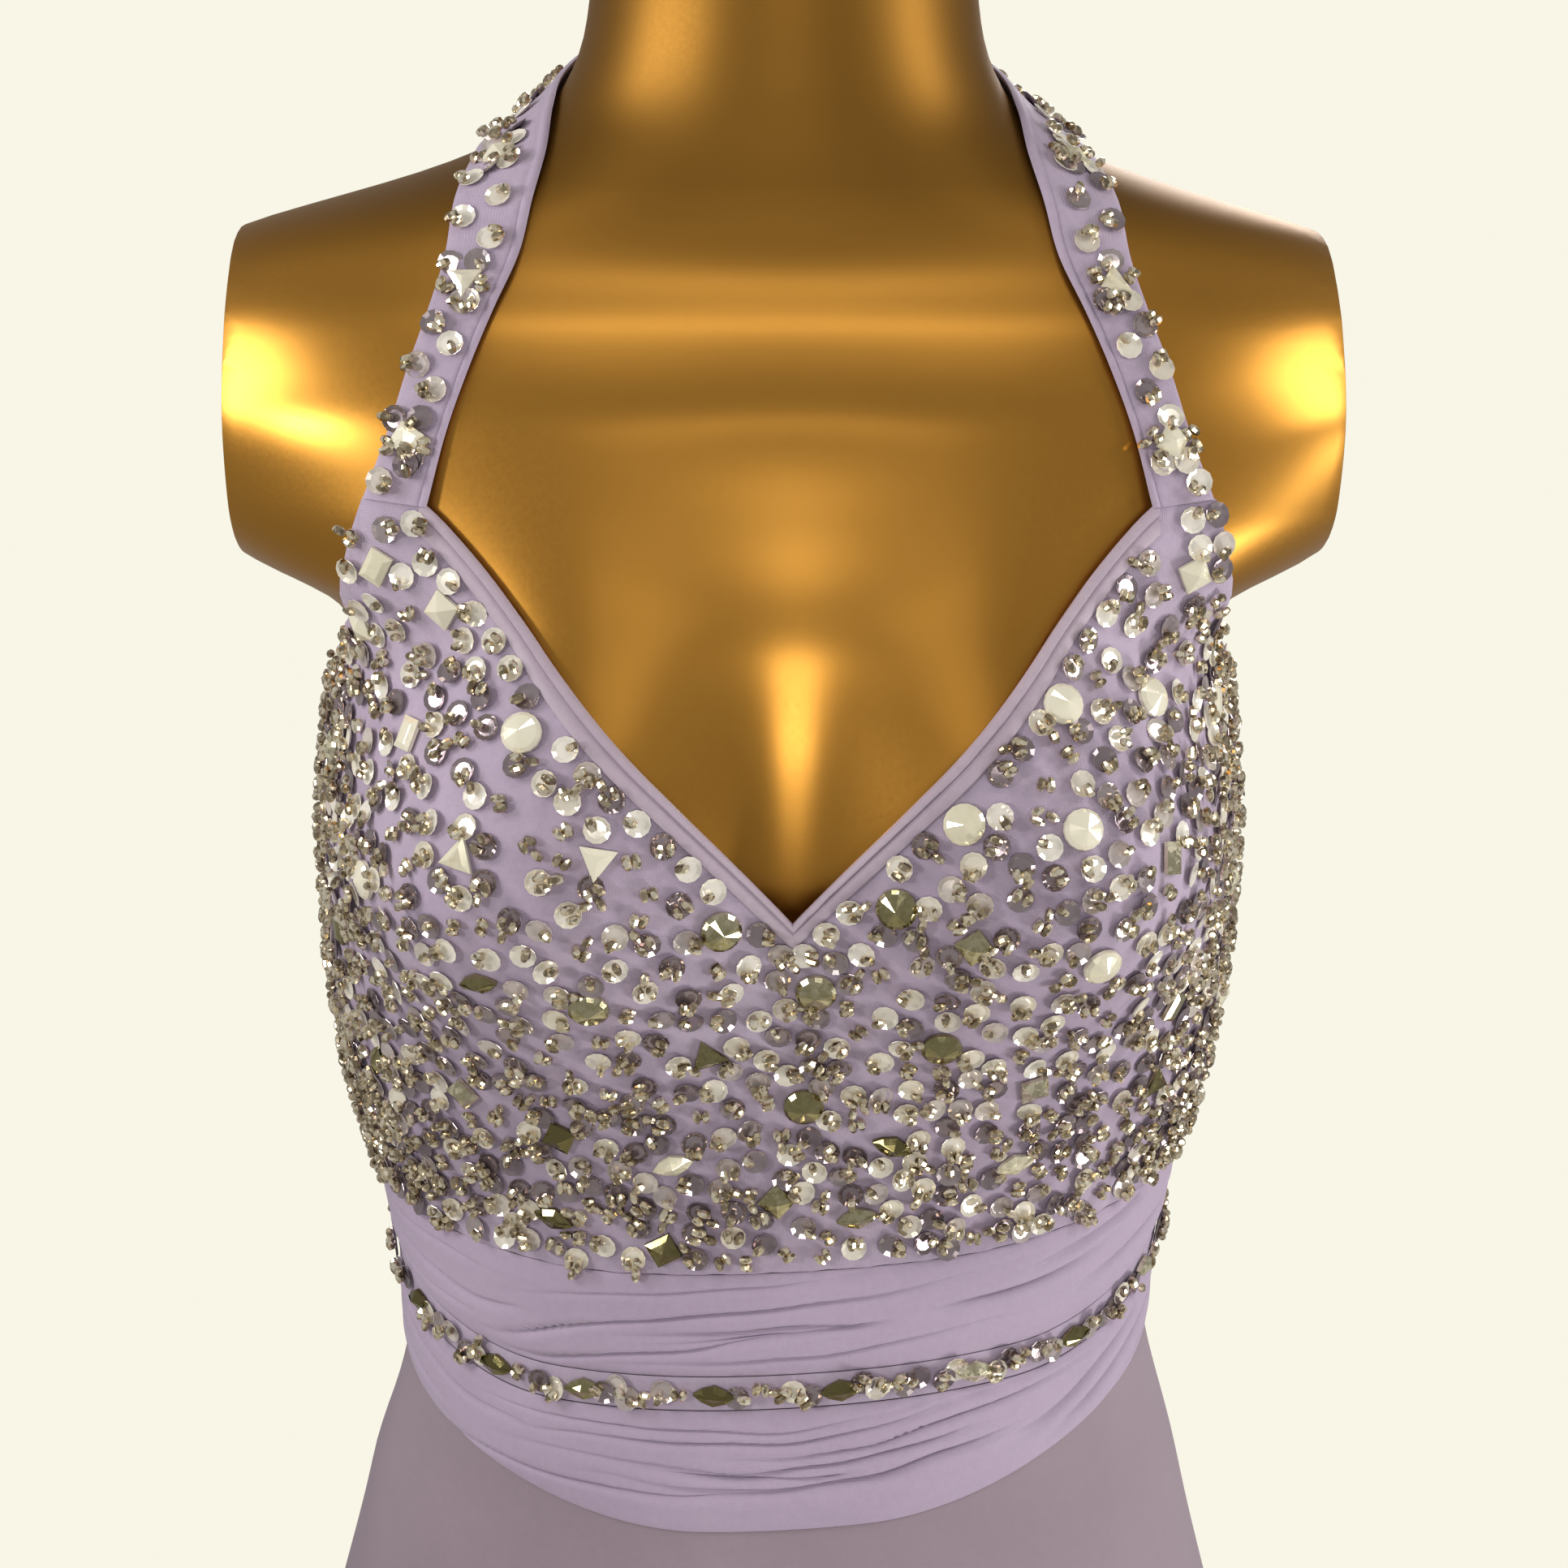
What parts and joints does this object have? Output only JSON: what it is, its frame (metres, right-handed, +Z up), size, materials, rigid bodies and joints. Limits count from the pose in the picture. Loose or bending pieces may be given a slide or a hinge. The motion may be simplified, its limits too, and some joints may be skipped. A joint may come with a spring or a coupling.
{
  "type": "halter evening dress on dress form",
  "caption": "Floor-length halter dress with beaded V-neck bodice, gathered waist bands and flared skirt, on a limbless dress form with a pole stand.",
  "frame": {"origin": "centre of the stand base's underside, on the floor under the pole", "axes": "+Z up, -Y towards the front of the dress, +X towards the wearer's left"},
  "size_m": [0.8147, 0.7538, 1.49],
  "materials": {
    "gold_paint": "satin gold metallic paint on a moulded form",
    "steel": "brushed",
    "zip_metal": "painted to match the cloth",
    "beaded_cloth": "lilac satin under silver sequins, bugle beads and faceted stones",
    "satin": "plain lilac satin",
    "chiffon": "matt lilac chiffon"
  },
  "bodies": {
    "dress_on_form": {"form_torso": "gold_paint", "form_flange": "steel", "stand_pole": "steel", "stand_collar": "steel", "stand_base": "steel", "bodice_front": "beaded_cloth", "bodice_back_left": "beaded_cloth", "bodice_back_right": "beaded_cloth", "neckline_binding": "satin", "halter_strap_left": "beaded_cloth", "halter_strap_right": "beaded_cloth", "neck_button": "satin", "upper_ruched_band_front": "chiffon", "upper_ruched_band_back_left": "chiffon", "upper_ruched_band_back_right": "chiffon", "beaded_waistband_front": "beaded_cloth", "beaded_waistband_back_left": "beaded_cloth", "beaded_waistband_back_right": "beaded_cloth", "lower_ruched_band_front": "chiffon", "lower_ruched_band_back_left": "chiffon", "lower_ruched_band_back_right": "chiffon", "skirt_front": "chiffon", "skirt_back_left": "chiffon", "skirt_back_right": "chiffon", "zip_slider": "zip_metal"},
    "zip_tab": {"zip_pull": "zip_metal"}
  },
  "joints": [
    {"name": "zip_pull_hinge", "type": "hinge", "parent": "dress_on_form", "child": "zip_tab", "pos_m": [0, 0.08966, 1.1285], "axis": [1, 0, 0], "range_deg": [0, 140]}
  ]
}
